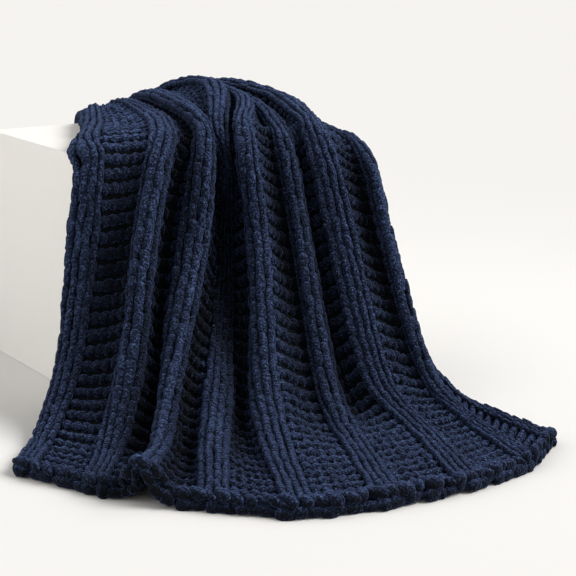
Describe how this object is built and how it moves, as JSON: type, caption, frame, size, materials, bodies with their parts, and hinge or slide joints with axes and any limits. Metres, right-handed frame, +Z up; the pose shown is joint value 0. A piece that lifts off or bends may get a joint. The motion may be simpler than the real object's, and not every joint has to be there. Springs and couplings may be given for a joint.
{
  "type": "knit blanket draped over a display plinth",
  "caption": "Chunky ribbed knit throw in navy chenille, draped over the front edge of a plain white display plinth and spreading onto the floor in soft tent-like folds.",
  "frame": {"origin": "on the floor under the middle of the part's box", "axes": "+Z up, +X to the right along the plinth's front, -Y out from the front, where the blanket spreads on the floor"},
  "size_m": [1.0252, 1.2986, 0.5785],
  "materials": {
    "navy_chenille": "thick hand-knit chenille with a soft pile",
    "matt_white_paint": "matt white paint on board"
  },
  "bodies": {
    "root": {"blanket": "navy_chenille", "plinth": "matt_white_paint"}
  },
  "joints": []
}
